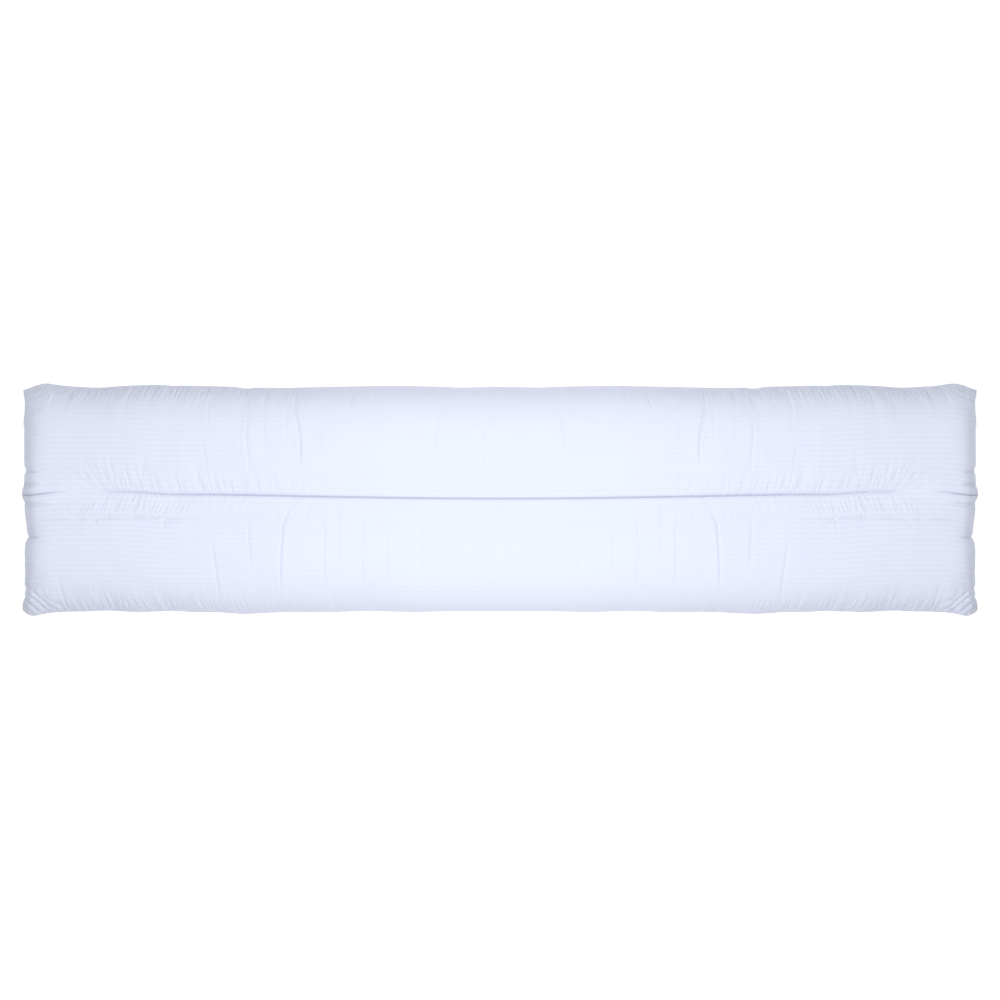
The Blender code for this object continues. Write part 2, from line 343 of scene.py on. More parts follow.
# The fine hatching where the cloth is gathered most: short strokes side by side.
HATCHING = (
    # first and last place, top, bottom, lean and how far apart, all in pixels, and depth in mm
    (88, 196, 502, 512, -4.5, 4.6, 1.5),
    (106, 150, 495.5, 501, -3.0, 4.8, 1.0),
    (62, 300, 387.5, 400, -5.0, 4.7, 0.8),
    (62, 250, 597, 609, 4.0, 5.0, 0.8),
)
HATCH_WIDTH = 1.9  # half-width in mm
HATCH_LIFT = 0.8  # as a share of the depth
# The random ranges of one stroke, as shares of what the table says.
HATCH_BEGIN = (-0.15, 0.25)
HATCH_END = (-0.3, 0.15)
HATCH_LEAN = (0.7, 1.2)
HATCH_DEPTH = (0.4, 1.0)
HATCH_APART = (0.7, 1.3)
HATCH_SEED = 21

# The unevenness of the filling: height, length along and across, and seed.
LUMPS = ((0.0011, 0.060, 0.060, 6), (0.0005, 0.024, 0.030, 7))
LUMPS_FREE = 0.05  # how far from the outer seam they are at their full height
LUMPS_FROM = 9  # the y of the ripples that the centre line reads
# The fine puckers of the end seam: height, width, length, seed and how far in they reach.
END_PUCKERS = (0.0007, 0.0045, 0.030, 5, 0.022)
# The lips beside the side seams and the end seam: width and height.
SIDE_LIP = (0.006, 0.0004)
END_LIP = (0.014, 0.0005)
RIM_REACH = 0.002  # how close to the outer seam both panels move straight outwards
RELIEF_FREE = 0.012  # how far from the outer seam the relief is whole

RIPPLE_TABLE = (512, 64)  # steps of x and of y until the ripples repeat
# A table is read at this many places, up to this many reaches away, and with weights this wide.
EASE_COUNT = 11
EASE_FAR = 2.2
EASE_WIDE = 1.2
EASE_REACH = 0.012
CROWD_STEPS = 20000  # the fine steps in which rows and columns are crowded


def bump(distance, reach):
    """1 at no distance, and almost 0 at twice the reach."""
    return np.exp(-((distance / reach) ** 2))


def smooth(low, high, value):
    """0 at the low value and 1 at the high one, with a soft start and a soft stop."""
    share = np.clip((value - low) / (high - low), 0, 1)
    return share * share * (3 - 2 * share)


def eased(table, column, place, reach=EASE_REACH):
    """Reads a table along the pillow and rounds off its corners."""
    rows = np.array(table)
    steps = np.linspace(-EASE_FAR, EASE_FAR, EASE_COUNT)
    weights = bump(steps, EASE_WIDE)
    total = 0
    for step, weight in zip(steps, weights):
        total = total + weight * np.interp(np.abs(place + step * reach), rows[:, 0], rows[:, column])
    return total / weights.sum()


def crowded(count, start, stop, crowd):
    """count + 1 distances from start to stop, closest together where crowd is greatest."""
    fine = np.linspace(start, stop, CROWD_STEPS + 1)
    middle = (fine[1:] + fine[:-1]) / 2
    total = np.concatenate([[0], np.cumsum(crowd(middle))])
    return np.interp(np.linspace(0, total[-1], count + 1), total, fine)


def ripple(x, y, seed):
    """Soft random ripples from -1 to 1: one ripple takes about two steps of x or of y."""
    table = np.random.default_rng(seed).uniform(-1, 1, RIPPLE_TABLE)
    left, low = np.floor(x).astype(int), np.floor(y).astype(int)
    across, up = x - left, y - low
    across, up = across * across * (3 - 2 * across), up * up * (3 - 2 * up)

    def value(i, j):
        return table[(left + i) % RIPPLE_TABLE[0], (low + j) % RIPPLE_TABLE[1]]

    below = value(0, 0) * (1 - across) + value(1, 0) * across
    above = value(0, 1) * (1 - across) + value(1, 1) * across
    return below * (1 - up) + above * up


def side_outline(place, side):
    """How far from the centre line the far side (1) or the near side (-1) is."""
    swells, (drawn_in, corner), loose = SIDES[side]
    swell = sum(amount * bump(place - at, reach) for at, reach, amount in swells)
    near_end = np.clip(1 - (HALF_LENGTH - place) / corner, 0, 1)
    return HALF_WIDTH + loose + swell - drawn_in * near_end**2


def end_gather(across, from_end):
    """How far the soft gathers of the end draw the cloth in."""
    total = 0
    for at, half_width, depth, reach in END_GATHERS:
        # A gather is a soft notch, and an ear is blunt.
        shape = bump(across - at, half_width) if depth > 0 else np.exp(-(((across - at) / half_width) ** 4))
        total = total + depth * shape * np.exp(-from_end / reach)
    return total


def notches(across, from_end):
    """What the outline of the end adds to the soft gathers: its sharp notches and small bulges."""
    down = MIDDLE[1] - across / PIXEL
    left = END_EDGE + sum(depth * bump(down - at, half_width) for at, half_width, depth in END_NOTCHES)
    sharp = HALF_LENGTH - (MIDDLE[0] - left - OUTLINE_BLUR) * PIXEL - end_gather(across, 0)
    return sharp * np.exp(-from_end / NOTCH_REACH)


def rounded(share, square):
    """The height of a rounded side: 1 where it starts, and 0 at the seam, where the share is 1."""
    seam = (1 - SEAM_SHARE**square) ** (1 / square)
    share = SEAM_SHARE * np.clip(share, 0, 1)
    return ((1 - share**square) ** (1 / square) - seam) / (1 - seam)


def back_fill(beyond):
    """1 on the flat patch of the back, and 0 at the seam, where the share beyond the patch is 1."""
    beyond = np.clip(beyond, 0, 1)
    return rounded(beyond, BACK_SQUARE) * (1 - BACK_LIFT * beyond)


def seam_wave(place, across):
    """How far the outer seam wanders up and down."""
    wave = 0
    for height, long, seed in SEAM_WAVES:
        wave = wave + height * ripple(place / long, across / long + WAVES_FROM, seed)
    return wave * smooth(0, WAVES_FREE, place)


def meet(side, end):
    """Rounds the corner where a rounded side and a rounded end meet."""
    both = side * side + end * end - side * side * end * end
    return side * end / np.sqrt(np.maximum(both, 1e-12))


def leaning(places, shares):
    """The place of each point of the panel: its rows lean as the gathers do."""
    place, out = places[:, None], np.abs(shares)[None, :]
    lean = eased(LEAN, 1, place, LEAN_EASE) * LEAN_REACH * smooth(0, LEAN_FREE, HALF_LENGTH - place)
    from_seam = 1 - np.exp(-out * HALF_WIDTH / LEAN_REACH)
    from_side = 1 - np.exp(-(1 - out) * HALF_WIDTH / LEAN_REACH)
    return place + lean * from_seam * from_side


def base_panel(place, shares, on_face):
    """The plain filled form: rows along the pillow, and columns from its near side to its far side."""
    out = np.abs(shares)[None, :]
    side = np.sign(shares)[None, :]
    seam_line = eased(SEAM_LINE, 1, place)
    outline = np.where(side > 0, side_outline(place, 1), side_outline(place, -1))
    across = seam_line * (1 - out) + side * outline * out
    from_end = HALF_LENGTH - place
    gather = end_gather(across, from_end)
    sharp = notches(across, from_end)
    if on_face:
        end_round = END_ROUND * (1 + END_SOFTER * out**2)
        fill = meet(rounded(out, FACE_SQUARE), rounded(1 - from_end / end_round, FACE_SQUARE))
        crown = CROWN * (END_CROWN + (1 - END_CROWN) * smooth(0, CROWN_REACH, from_end))
        sunk = FURROW_DEPTH * np.maximum(gather, 0)
        height = EDGE_HEIGHT + crown * fill - sunk * np.minimum(1, FURROW_RISE * fill)
        height += seam_wave(place, across) * (1 - fill)
    else:
        beyond_side = np.clip((out - FLAT_SHARE) / (1 - FLAT_SHARE), 0, 1)
        beyond_end = np.clip(1 - from_end / BACK_END_ROUND, 0, 1)
        flat = HALF_WIDTH * FLAT_SHARE
        straight = side * (HALF_WIDTH * np.minimum(out, FLAT_SHARE) + (outline - flat) * beyond_side)
        across = straight + (across - straight) * smooth(0, 1, beyond_end)
        # The hidden back is gathered only close to its seam.
        close = smooth(APRON[0], 0, from_end)
        gather, sharp = gather * close, sharp * close
        fill = meet(back_fill(beyond_side), back_fill(beyond_end))
        raised = FURROW_DEPTH * np.maximum(gather, 0) * np.minimum(1, FURROW_RISE * fill) * (1 - fill)
        height = (EDGE_HEIGHT + seam_wave(place, across)) * (1 - fill) + raised
    return np.stack([place - gather - sharp, across, height], axis=2)


def normals(points, up, first_row):
    """The way out of the cloth at each point, for a panel that faces up (1) or down (-1)."""
    along = np.gradient(points, axis=0)
    if first_row:
        # The half is mirrored about its first row, so the slope along it is none there.
        along[0] = [1, 0, 0]
    across = np.gradient(points, axis=1)
    found = np.cross(along, across) * up
    return found / np.maximum(np.linalg.norm(found, axis=2, keepdims=True), 1e-12)


def arc(points, axis):
    """The length of cloth from the first point of each row or column. In a row, only the way across and
    up counts."""
    steps = np.diff(points, axis=axis)
    if axis == 1:
        steps[:, :, 0] = 0
    steps = np.linalg.norm(steps, axis=2)
    shape = list(steps.shape)
    shape[axis] = 1
    return np.concatenate([np.zeros(shape), np.cumsum(steps, axis=axis)], axis=axis)


def stroke(place, across, line):
    """How far each point is from a line of points, less than 0 on one side, and how it fades at its ends."""
    best = np.full(place.shape, 1e9)
    along_best = np.zeros(place.shape)
    side_best = np.zeros(place.shape)
    spots = [spot(x, y) for x, y in line]
    lengths = [math.dist(a, b) for a, b in zip(spots, spots[1:])]
    total, run = sum(lengths), 0
    for (ax, ay), (bx, by), length in zip(spots, spots[1:], lengths):
        ux, uy = (bx - ax) / length, (by - ay) / length
        t = np.clip((place - ax) * ux + (across - ay) * uy, 0, length)
        dx, dy = place - ax - t * ux, across - ay - t * uy
        distance = np.hypot(dx, dy)
        nearer = distance < best
        best = np.where(nearer, distance, best)
        along_best = np.where(nearer, run + t, along_best)
        side_best = np.where(nearer, np.where(dx * uy - dy * ux > 0, 1.0, -1.0), side_best)
        run += length
    share = along_best / total
    fade = smooth(0, STROKE_FADE, share + STROKE_PAST) * smooth(0, STROKE_FADE, 1 + STROKE_PAST - share)
    return best * side_best, fade


def hatching():
    """The strokes of the hatching, each with its own length, lean and depth."""
    random = np.random.default_rng(HATCH_SEED)
    strokes = []
    for first, last, top, bottom, lean, apart, depth in HATCHING:
        x = first
        while x < last:
            begin = top + random.uniform(*HATCH_BEGIN) * (bottom - top)
            end = bottom + random.uniform(*HATCH_END) * (bottom - top)
            tilt = lean * random.uniform(*HATCH_LEAN)
            line = ((x, begin), (x + tilt, end))
            strokes.append((line, depth * random.uniform(*HATCH_DEPTH), HATCH_WIDTH, HATCH_LIFT))
            x += apart * random.uniform(*HATCH_APART)
    return tuple(strokes)


def all_creases(place, across):
    """The soft trough of every crease, and how far each point is from the nearest sharp line and how
    deep that is there."""
    soft = np.zeros(place.shape)
    nearest = np.full(place.shape, NO_CREASE)
    second = np.full(place.shape, NO_CREASE)
    deep = np.zeros(place.shape)
    for line, depth, width, lift in CREASES + hatching():
        at, fade = stroke(place, across, line)
        depth, width = depth / 1000, width / 1000
        gap = np.abs(at)
        beside = lift * bump(gap - LIFT_AT * width, LIFT_WIDE * width) * (1 + LIFT_UNEVEN * np.sign(at))
        soft += depth * SOFT_SHARE * fade * (beside - bump(gap, width))
        nearer = gap < np.abs(nearest)
        second = np.where(nearer, np.abs(nearest), np.minimum(second, gap))
        nearest = np.where(nearer, at, nearest)
        deep = np.where(nearer, depth * fade * (1 - smooth(*SHARP_WITHIN, gap)), deep)
    # Where two lines meet, neither is sharp.
    return soft, nearest, deep * smooth(*APART_BY, second - np.abs(nearest))


def face_relief(points, place, seams, row_at, side):
    """Everything that stands above or below the plain form of the face."""
    from_seam, from_edge, from_end = seams
    across = points[:, :, 1]
    relief = -eased(SEAM_DEPTH, 1, place) * bump(from_seam, VALLEY_REACH)
    relief -= eased(SEAM_DEPTH, 2, place) * bump(from_seam, ROLL_REACH)
    relief -= eased(SEAM_DEPTH, 3, place) * np.exp(-from_seam / CREASE_REACH)
    soft, nearest, deep = all_creases(place, across)
    relief += soft
    # Gathers: small folds side by side along the seams, and longer ones that run further in.
    upper = side > 0
    beside_seam = np.where(upper, eased(GATHERED, 1, place), eased(GATHERED, 2, place))
    beside_edge = np.where(upper, eased(GATHERED, 3, place), eased(GATHERED, 4, place))
    for half, own in enumerate((upper, ~upper)):
        for number, fold in enumerate(FOLDS):
            relief += own * beside_seam * folds(row_at, from_seam, *fold, 10 * number + half)
        for number, fold in enumerate(EDGE_FOLDS):
            relief += own * beside_edge * folds(row_at, from_edge, *fold, 10 * number + half + 5)
    height, wide, long, seed, reach = END_PUCKERS
    relief += height * ripple(across / wide, from_end / long, seed) * bump(from_end, reach)
    inside = smooth(0, LUMPS_FREE, from_edge) * smooth(0, LUMPS_FREE, from_end)
    for height, along, over, seed in LUMPS:
        relief += inside * height * ripple(place / along, across / over + LUMPS_FROM, seed)
    drawn = np.clip(eased(SEAM_DEPTH, 3, place) / DEEPEST, 0, 1)
    return relief, nearest, deep, drawn, np.where(from_edge < from_seam, beside_edge, beside_seam)


def folds(row_at, distance, apart, reach, height, seed):
    """Small folds side by side along a seam. Each has its own place, length, width and height."""
    random = np.random.default_rng(seed)
    relief = np.zeros(distance.shape)
    at = 0.0
    while at < HALF_LENGTH:
        width = apart * random.uniform(*FOLD_WIDE)
        begin = reach * random.uniform(*FOLD_BEGIN)
        # There are more short folds than long ones, and about one in three is a groove.
        half_length = reach * random.uniform(*FOLD_LONG) ** 1.5 / 2
        tall = height * random.uniform(*FOLD_TALL) * random.choice((1, 1, -1))
        near = np.abs(row_at[:, 0] - at) < 3 * width
        along = bump(distance[near] - begin - half_length, half_length)
        relief[near] += tall * along * bump(row_at[near] - at, width)
        at += apart * random.uniform(*FOLD_APART)
    return relief * smooth(0.0, FOLD_START, distance)


def seam_lip(distance, wide, height):
    """The cloth beside the outer seam: a low ridge along it and a groove behind the ridge."""
    return height * (bump(distance - 0.5 * wide, 0.28 * wide) - bump(distance - wide, 0.35 * wide))


def dressed(points, relief, from_edge, from_end, up, first_row):
    """Moves each point of the panel along its own normal by the relief."""
    lip = seam_lip(from_edge, *SIDE_LIP) + seam_lip(from_end, *END_LIP)
    way = normals(points, up, first_row)
    # On the outer seam itself both panels move straight outwards, so that they stay sewn.
    rim = np.minimum(from_edge, from_end)
    flat = way.copy()
    flat[:, :, 2] = 0
    flat /= np.maximum(np.linalg.norm(flat, axis=2, keepdims=True), 1e-9)
    share = np.exp(-rim / RIM_REACH)[:, :, None]
    way = way * (1 - share) + flat * share
    way /= np.maximum(np.linalg.norm(way, axis=2, keepdims=True), 1e-9)
    return points + way * (relief * smooth(0.0, RELIEF_FREE, rim) + lip)[:, :, None]


def closer(distance, much, reach):
    """How much closer rows or columns are at this distance from a seam or a notch."""
    return much * bump(distance, reach)


def section_crowd(share):
    """Columns an equal way apart on the cloth, closer at the seams."""
    step = 1e-4
    slope = (rounded(share + step, FACE_SQUARE) - rounded(share - step, FACE_SQUARE)) / (2 * step)
    speed = np.sqrt(1 + np.clip(slope * CROWN / HALF_WIDTH, -STEEPEST, STEEPEST) ** 2)
    near_seam = 1 + closer(share, *COLUMNS_ON_SEAM) + closer(share, *COLUMNS_BESIDE_SEAM)
    return speed * near_seam + closer(1 - share, *COLUMNS_AT_SIDE)


def notch_crowd(share, side):
    """More columns at the deep notches of the end seam."""
    lines = [((MIDDLE[1] - down) * PIXEL * side + NOTCH_SHIFT) / HALF_WIDTH for down in DEEP_NOTCHES[side]]
    return sum(closer(share - line, *COLUMNS_AT_NOTCH) for line in lines)


def row_crowd(place):
    """More rows where the cloth is gathered, and most at the end."""
    from_end = HALF_LENGTH - place
    at_end = closer(from_end, *ROWS_AT_END)
    return 1 + smooth(*ROWS_GATHERED, place) + closer(from_end, *ROWS_NEAR_END) + at_end


def both_sides(shares):
    """The shares of one side as those of both, from -1 at the near side to 1 at the far side."""
    return np.concatenate([-shares[:0:-1], shares])


def panel(places, shares, on_face):
    """One panel, or part of one: its points, and the data that its material reads."""
    if on_face:
        place = leaning(places, shares)
    else:
        place = np.broadcast_to(places[:, None], (len(places), len(shares)))
    points = base_panel(place, shares, on_face)
    cloth_across = arc(points, 1)
    middle = int(np.argmin(np.abs(shares)))
    cloth_across = cloth_across - cloth_across[:, middle : middle + 1]
    from_seam = np.abs(cloth_across)
    from_edge = np.minimum(cloth_across - cloth_across[:, :1], cloth_across[:, -1:] - cloth_across)
    cloth_along = points[:1, :, 0] + arc(points, 0)
    to_seam = HALF_LENGTH - place
    from_end = to_seam + END_CLOTH * (1 - np.exp(-to_seam / END_CLOTH))
    row_at = np.broadcast_to(places[:, None], place.shape)
    side = np.broadcast_to(np.sign(shares)[None, :], place.shape)
    seams = (from_seam, from_edge, from_end)
    if on_face:
        relief, nearest, deep, drawn, gathered = face_relief(points, place, seams, row_at, side)
        points = dressed(points, relief, from_edge, from_end, 1, places[0] == 0)
    else:
        none = np.zeros(place.shape)
        seams = (none + 1, from_edge, from_end)
        nearest, deep, drawn, gathered = none + NO_CREASE, none, none, none
        points = dressed(points, none, from_edge, from_end, -1, places[0] == 0)
        points[:, :, 2] = np.maximum(points[:, :, 2], 0)
    data = np.stack([cloth_along, cloth_across, *seams, nearest, deep, drawn, row_at, side, gathered], axis=2)
    return points, data


def fine_columns(side):
    """The shares of one side of the end, with more of them at its deep notches."""
    return crowded(2 * FACE_COLUMNS, 0, 1.0, lambda share: section_crowd(share) + notch_crowd(share, side))


def face_panels(fine_shares):
    """The body and the end of the face of one half. The row where they meet is the end's."""
    join = HALF_LENGTH - END_ZONE
    body_places = crowded(BODY_ROWS, 0, join, row_crowd)
    end_places = crowded(END_ROWS, join, HALF_LENGTH, row_crowd)
    shares = both_sides(crowded(FACE_COLUMNS, 0, 1.0, section_crowd))
    # One row more on each side of the join, so that both parts have the same slope there.
    step = end_places[1] - end_places[0]
    body, body_data = panel(np.append(body_places, join + step), shares, True)
    end, end_data = panel(np.insert(end_places, 0, join - step), fine_shares, True)
    return (body[:-2], body_data[:-2]), (end[1:], end_data[1:])


def back_panels(fine_shares):
    """The back of one half, and its apron beside the end seam, which has as many columns as the face so
    that the notches of the seam stay open. Both go as far as the rim, which is the face's."""
    ends, sides = BACK_ROWS_AT_END, BACK_COLUMNS_AT_SIDE
    places = crowded(BACK_ROWS, 0, HALF_LENGTH, lambda place: 1 + closer(HALF_LENGTH - place, *ends))
    shares = both_sides(crowded(BACK_COLUMNS, 0, 1.0, lambda share: 1 + closer(1 - share, *sides)))
    back, back_data = panel(places, shares, False)
    kept = places < HALF_LENGTH - APRON[0]
    apron, apron_data = panel(HALF_LENGTH - np.array(APRON), fine_shares, False)
    inside = np.abs(fine_shares) <= shares[-2]
    return (back[kept, 1:-1], back_data[kept, 1:-1]), (apron[1:-1, inside], apron_data[1:-1, inside])


def store_data(mesh, data):
    """Gives the mesh what its material reads: the cloth as a UV map, and the rest as attributes."""
    layer = mesh.uv_layers.new(name="cloth")
    corners = np.zeros(len(mesh.loops), dtype=np.int32)
    mesh.loops.foreach_get("vertex_index", corners)
    layer.data.foreach_set("uv", data[corners, :2].ravel())
    for name, first in (("seams", 2), ("marks", 5), ("gathers", 8)):
        attribute = mesh.attributes.new(name, "FLOAT_VECTOR", "POINT")
        attribute.data.foreach_set("vector", data[:, first : first + 3].ravel())


def sewn_mesh(name):
    """Both panels, mirrored about the middle and sewn together round the edge."""
    points, data, faces = [], [], []

    def add(grid, values, from_middle):
        """Adds the points of a half and of its mirror image, and gives their numbers as two grids."""
        halves = []
        for mirrored in (False, True):
            skip = 1 if mirrored and from_middle else 0
            own, own_values = grid[skip:].copy(), values[skip:].copy()
            if mirrored:
                own[:, :, 0] *= -1
                own_values[:, :, 0] *= -1
            first = len(points)
            points.extend(own.reshape(-1, 3).tolist())
            data.extend(own_values.reshape(-1, values.shape[2]).tolist())
            halves.append(np.arange(first, first + own.shape[0] * own.shape[1]).reshape(own.shape[:2]))
        if from_middle:
            halves[1] = np.concatenate([halves[0][:1], halves[1]])
        return halves

    def quads(grid, flip):
        a, b = grid[:-1, :-1], grid[1:, :-1]
        c, d = grid[1:, 1:], grid[:-1, 1:]
        order = (a, b, c, d) if not flip else (d, c, b, a)
        faces.extend(np.stack(order, axis=2).reshape(-1, 4).tolist())

    def sew(outer, inner, axis, flip):
        """Triangles between two rows of points with unlike counts."""
        i = j = 0
        way = 1 if points[outer[-1]][axis] > points[outer[0]][axis] else -1
        while i < len(outer) - 1 or j < len(inner) - 1:
            next_outer = way * points[outer[i + 1]][axis] if i < len(outer) - 1 else math.inf
            next_inner = way * points[inner[j + 1]][axis] if j < len(inner) - 1 else math.inf
            if next_outer <= next_inner:
                triangle = (outer[i], outer[i + 1], inner[j])
                i += 1
            else:
                triangle = (inner[j], outer[i], inner[j + 1])
                j += 1
            faces.append([int(k) for k in (triangle[::-1] if flip else triangle)])

    fine_shares = np.concatenate([-fine_columns(-1)[:0:-1], fine_columns(1)])
    body, end = face_panels(fine_shares)
    back, apron = back_panels(fine_shares)
    bodies, ends = add(*body, True), add(*end, False)
    backs, aprons = add(*back, True), add(*apron, False)
    for body_ids, end_ids, back_ids, apron_ids, flip in zip(bodies, ends, backs, aprons, (False, True)):
        quads(body_ids, flip)
        sew(end_ids[0], body_ids[-1], 1, flip)
        quads(end_ids, flip)
        quads(back_ids, not flip)
        quads(apron_ids, not flip)
        sew(apron_ids[0], back_ids[-1], 1, not flip)
        sew(end_ids[-1], apron_ids[-1], 1, not flip)
        for column, turned in ((0, not flip), (-1, flip)):
            rim = np.concatenate([body_ids[:, column], end_ids[:, column]])
            inner = np.concatenate([back_ids[:, column], apron_ids[:, column]])
            sew(rim, inner, 0, turned)
    mesh = bpy.data.meshes.new(name)
    mesh.from_pydata(points, [], faces)
    mesh.validate()
    mesh.shade_smooth()
    store_data(mesh, np.array(data, dtype=np.float32))
    return mesh


pillow_mesh = sewn_mesh("pillow_cover")
pillow = bpy.data.objects.new("pillow_cover", pillow_mesh)
bpy.context.scene.collection.objects.link(pillow)

# The cotton: its colours, its stripes and its weave.
COTTON = (0.762, 0.803, 0.963)
SATEEN = (0.783, 0.823, 0.977)
STRIPE = 5.07 * PIXEL  # one pair of bands
STRIPE_EDGE = (0.40, 0.60)
# The stripes are woven into the cloth; their fading towards the middle of the length is painted, standing in
# for the light that shows the sateen less there.
STRIPE_FADED = 0.55  # how clear the stripes are in the middle of the length
STRIPE_CLEAR = (0.35, 0.75)  # the places between which they get clear
STRIPE_HEIGHT = 0.00005
THREAD = 0.0006
THREAD_HEIGHT = 0.00003
FUZZ_SCALE = 420.0
FUZZ_HEIGHT = 0.00008
BLOTCH_SCALE = 9.0
BLOTCH = 0.022
# The painted light and shade.
SEAM_SHADE = 0.35  # how much painted shade darkens the bottom of the centre seam, where it is deepest
TIGHT_AT = 0.785  # the place where the centre seam is drawn tight
# Painted light beside the tight seam: how far it reaches along and across, and how much lighter it makes the
# cloth.
TIGHT_REACH = 0.050
TIGHT_ACROSS = 0.022
TIGHT_PAINTED_LIGHT = 0.035
# Painted shade along the gathered sides: how much darker, and how far in from the outer seam.
SIDE_SHADE = 0.10
SIDE_SHADE_REACH = 0.055
# Painted shade along the outer seam: the cloth there is multiplied by this colour.
OUTER_SEAM_SHADE_COLOUR = (0.84, 0.83, 0.75)
SEAM_WIDTH = 0.004
SIDE_SEAM_SHADE_SHARE = 0.4  # how much of the painted shade the side seams get; the end seams get all of it
END_SEAM_WIDTH = 1.6 * SEAM_WIDTH
# The finest puckers: width and length, and their seed, reach and height at the centre and outer seams.
PUCKER_WIDTH = 0.0030
PUCKER_LENGTH = 0.024
PUCKER_START = (0.001, 0.006)
SEAM_PUCKERS = (17.0, 0.030, 0.0014)
EDGE_PUCKERS = (29.0, 0.060, 0.0016)
# The sharp line of a crease, and the lifted cloth beside it, with heights as shares of its depth.
LINE_REACH = 0.0020
LINE_DEPTH = 0.32
LINE_LIFT_AT = 0.0044
LINE_LIFT_REACH = 0.0028
LINE_LIFT = 0.16


def cover_material():
    material = bpy.data.materials.new("striped_cotton")
    material.use_nodes = True
    nodes, links = material.node_tree.nodes, material.node_tree.links
    shader = nodes["Principled BSDF"]

    def node(kind, **values):
        made = nodes.new(kind)
        for key, value in values.items():
            setattr(made, key, value)
        return made

    def put(value, socket):
        if isinstance(value, (int, float)):
            socket.default_value = value
        else:
            links.new(value, socket)

    def maths(operation, *values):
        made = node("ShaderNodeMath", operation=operation)
        for socket, value in zip(made.inputs, values):
            put(value, socket)
        return made.outputs[0]

    def add(*values):
        total = values[0]
        for value in values[1:]:
            total = maths("ADD", total, value)
        return total

    def times(*values):
        total = values[0]
        for value in values[1:]:
            total = maths("MULTIPLY", total, value)
        return total

    def soft_step(value, low, high):
        made = node("ShaderNodeMapRange", interpolation_type="SMOOTHSTEP")
        put(value, made.inputs["Value"])
        made.inputs["From Min"].default_value = low
        made.inputs["From Max"].default_value = high
        return made.outputs["Result"]

    def soft_bump(value, reach):
        share = maths("DIVIDE", value, reach)
        return maths("EXPONENT", times(share, share, -1.0))

    def triple(name):
        made = node("ShaderNodeAttribute", attribute_type="GEOMETRY", attribute_name=name)
        split = node("ShaderNodeSeparateXYZ")
        links.new(made.outputs["Vector"], split.inputs[0])
        return split.outputs

    uv = node("ShaderNodeUVMap", uv_map="cloth")
    split = node("ShaderNodeSeparateXYZ")
    links.new(uv.outputs[0], split.inputs[0])
    u, v = split.outputs[0], split.outputs[1]
    from_seam, from_edge, from_end = triple("seams")
    crease_at, crease_deep, drawn = triple("marks")
    row_at, side, gathered = triple("gathers")

    def fine_gathers(distance, seed, reach, tall):
        """The finest puckers, which run out of a seam side by side."""
        where = node("ShaderNodeCombineXYZ")
        put(maths("DIVIDE", row_at, PUCKER_WIDTH), where.inputs[0])
        put(maths("MULTIPLY_ADD", distance, 1 / PUCKER_LENGTH, times(side, seed)), where.inputs[1])
        ripples = node("ShaderNodeTexNoise", noise_dimensions="2D")
        ripples.inputs["Scale"].default_value = 1.0
        ripples.inputs["Detail"].default_value = 0.0
        links.new(where.outputs[0], ripples.inputs["Vector"])
        held = times(ripples.outputs[0], soft_bump(distance, reach), soft_step(distance, *PUCKER_START))
        return times(held, gathered, tall)

    # Woven stripes: a band of sateen and a band of plain weave, one pair every 9.5 mm.
    phase = maths("FRACT", maths("DIVIDE", v, STRIPE))
    stripe = soft_step(maths("ABSOLUTE", maths("MULTIPLY_ADD", phase, 2.0, -1.0)), *STRIPE_EDGE)
    # Painted light: the stripes fade towards the middle of the length.
    clear = soft_step(maths("ABSOLUTE", u), *STRIPE_CLEAR)
    clearness = maths("MULTIPLY_ADD", clear, 1 - STRIPE_FADED, STRIPE_FADED)
    mix = node("ShaderNodeMix", data_type="RGBA")
    links.new(times(stripe, clearness), mix.inputs["Factor"])
    mix.inputs["A"].default_value = (*COTTON, 1)
    mix.inputs["B"].default_value = (*SATEEN, 1)
    # A faint unevenness of the whiteness, as washed cotton has.
    where = node("ShaderNodeTexCoord").outputs["Object"]
    blotch = node("ShaderNodeTexNoise")
    blotch.inputs["Scale"].default_value = BLOTCH_SCALE
    blotch.inputs["Detail"].default_value = 3.0
    links.new(where, blotch.inputs["Vector"])
    tone = maths("MULTIPLY_ADD", blotch.outputs[0], BLOTCH, 1 - BLOTCH / 2)
    # Painted shade: the cloth is darkest deep in the centre seam.
    shade = maths("SUBTRACT", 1.0, times(soft_bump(from_seam, CREASE_REACH), drawn, SEAM_SHADE))
    # Painted light: the cloth is lightest where the seam draws it tight.
    at_tight = soft_bump(maths("SUBTRACT", row_at, TIGHT_AT), TIGHT_REACH)
    painted_light_at_tight = times(at_tight, soft_bump(from_seam, TIGHT_ACROSS))
    shade = times(shade, maths("MULTIPLY_ADD", painted_light_at_tight, TIGHT_PAINTED_LIGHT, 1.0))
    # Painted shade: the cloth is a little darker where it is gathered along the sides, as if shaded by its
    # folds.
    side_painted_shade = times(soft_bump(from_edge, SIDE_SHADE_REACH), gathered, SIDE_SHADE)
    shade = times(shade, maths("SUBTRACT", 1.0, side_painted_shade))
    toned = node("ShaderNodeVectorMath", operation="SCALE")
    links.new(mix.outputs["Result"], toned.inputs[0])
    links.new(times(tone, shade), toned.inputs["Scale"])
